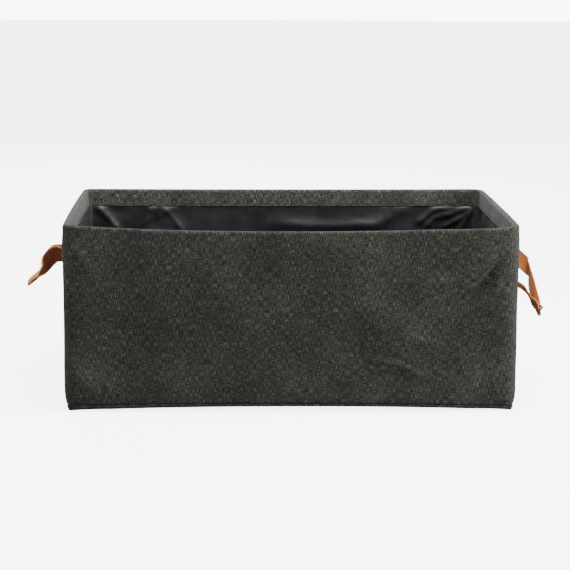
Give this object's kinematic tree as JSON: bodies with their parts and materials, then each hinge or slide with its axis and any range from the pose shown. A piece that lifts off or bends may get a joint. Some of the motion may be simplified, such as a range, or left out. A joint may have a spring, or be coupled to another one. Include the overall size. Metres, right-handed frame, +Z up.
{
  "type": "fabric storage bin",
  "caption": "Low open-topped rectangular cloth bin with a hidden wire frame, shiny lining, lift-out base board and leather strap handles on its end walls.",
  "frame": {"origin": "middle of the underside, on the surface the bin stands on", "axes": "+X along the long side towards the right handle, +Y to the back wall, +Z up"},
  "size_m": [0.722, 0.4198, 0.25],
  "materials": {
    "outer_cloth": "matte",
    "lining_cloth": "satin",
    "frame_wire": "satin",
    "sleeve_steel": "satin",
    "clip_plastic": "matte",
    "board_card": "matte",
    "cover_cloth": "satin",
    "strap_leather": "satin",
    "rivet_metal": "satin",
    "patch_webbing": "matte"
  },
  "bodies": {
    "bin": {"back_facing": "outer_cloth", "back_lining": "lining_cloth", "back_panel": "outer_cloth", "bottom_panel": "outer_cloth", "corner_post_back_left": "frame_wire", "corner_post_back_right": "frame_wire", "corner_post_front_left": "frame_wire", "corner_post_front_right": "frame_wire", "floor_lining": "lining_cloth", "front_facing": "outer_cloth", "front_lining": "lining_cloth", "front_panel": "outer_cloth", "left_facing": "outer_cloth", "left_lining": "lining_cloth", "left_panel": "outer_cloth", "left_rivet_washers": "sleeve_steel", "left_rivets": "rivet_metal", "left_strap_tab_back": "strap_leather", "left_strap_tab_front": "strap_leather", "left_wall_patches": "patch_webbing", "post_clip_back_left": "clip_plastic", "post_clip_back_right": "clip_plastic", "post_clip_front_left": "clip_plastic", "post_clip_front_right": "clip_plastic", "post_foot_back_left": "clip_plastic", "post_foot_back_right": "clip_plastic", "post_foot_front_left": "clip_plastic", "post_foot_front_right": "clip_plastic", "right_facing": "outer_cloth", "right_lining": "lining_cloth", "right_panel": "outer_cloth", "right_rivet_washers": "sleeve_steel", "right_rivets": "rivet_metal", "right_strap_tab_back": "strap_leather", "right_strap_tab_front": "strap_leather", "right_wall_patches": "patch_webbing", "rim_sleeve_back": "sleeve_steel", "rim_sleeve_front": "sleeve_steel", "rim_wire_left": "frame_wire", "rim_wire_right": "frame_wire"},
    "left_handle": {"left_strap_loop": "strap_leather"},
    "right_handle": {"right_strap_loop": "strap_leather"},
    "base_insert": {"base_board": "board_card", "base_board_cover": "cover_cloth"}
  },
  "joints": [
    {"name": "left_handle_hinge", "type": "hinge", "parent": "bin", "child": "left_handle", "pos_m": [-0.304, 0, 0.19], "axis": [0, 1, 0], "range_deg": [-30, 100], "stiffness_Nm_per_rad": 0.2, "springref_deg": 0.69},
    {"name": "right_handle_hinge", "type": "hinge", "parent": "bin", "child": "right_handle", "pos_m": [0.304, 0, 0.19], "axis": [0, -1, 0], "range_deg": [-30, 100], "stiffness_Nm_per_rad": 0.2, "springref_deg": 0.69},
    {"name": "base_insert_lift", "type": "slide", "parent": "bin", "child": "base_insert", "axis": [0, 0, 1], "range_m": [0, 0.3]}
  ]
}
